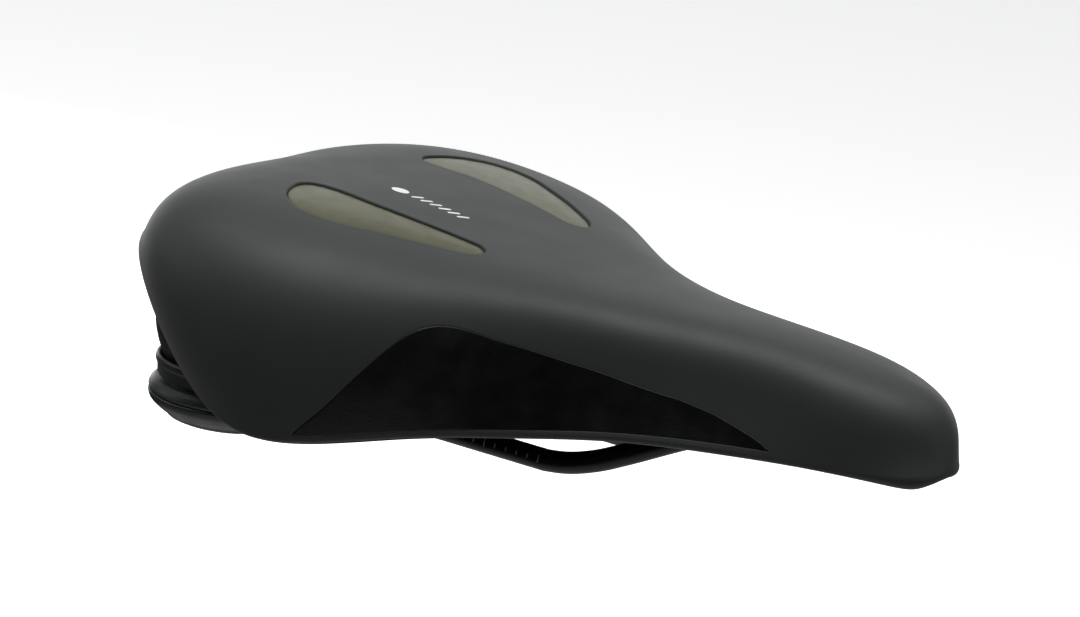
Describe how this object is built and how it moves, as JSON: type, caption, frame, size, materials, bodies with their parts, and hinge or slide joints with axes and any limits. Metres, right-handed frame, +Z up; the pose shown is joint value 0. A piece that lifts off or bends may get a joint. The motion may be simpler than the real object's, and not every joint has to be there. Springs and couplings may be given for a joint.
{
  "type": "bicycle saddle",
  "caption": "Padded comfort bicycle saddle with gel windows, moulded skirt, one-piece wire rails and a rear elastomer suspension that pivots at the nose.",
  "frame": {"origin": "in the mirror plane, under the middle of the saddle's length, level with the lowest point of the suspension bolts; the middle of the rails' straight clamping section is at x -12.5 mm, z +12.4 mm", "axes": "+X towards the nose, +Y to the rider's left, +Z up"},
  "size_m": [0.2725, 0.184, 0.0815],
  "materials": {
    "cover_skin": "matte moulded skin",
    "grained_panel": "satin grained",
    "gel": "satin translucent gel",
    "foam": "open cell foam",
    "base_plastic": "fine texture",
    "nylon": "satin",
    "elastomer_rubber": "satin",
    "rail_steel": "satin black coat",
    "steel": "zinc plated",
    "brass": "machined"
  },
  "bodies": {
    "rails": {"rail_frame": "rail_steel", "lower_seat_left": "nylon", "lower_seat_right": "nylon", "rail_end_screw_left": "steel", "rail_end_screw_right": "steel", "elastomer_left": "elastomer_rubber", "elastomer_right": "elastomer_rubber"},
    "saddle_top": {"cover": "cover_skin", "side_panel_left": "grained_panel", "side_panel_right": "grained_panel", "gel_insert_left": "gel", "gel_insert_right": "gel", "foam_pad": "foam", "base_shell": "base_plastic", "nose_retainer": "nylon", "nose_screw_rear": "steel", "nose_screw_front": "steel", "elastomer_bolt_left": "steel", "elastomer_bolt_right": "steel", "bolt_washer_left": "steel", "bolt_washer_right": "steel", "threaded_insert_left": "brass", "threaded_insert_right": "brass"}
  },
  "joints": [
    {"name": "suspension_pivot", "type": "hinge", "parent": "rails", "child": "saddle_top", "pos_m": [0.1045, 0, 0.0424], "axis": [0, -1, 0], "range_deg": [0, 1.2], "deforming": ["elastomer_left", "elastomer_right"]}
  ]
}
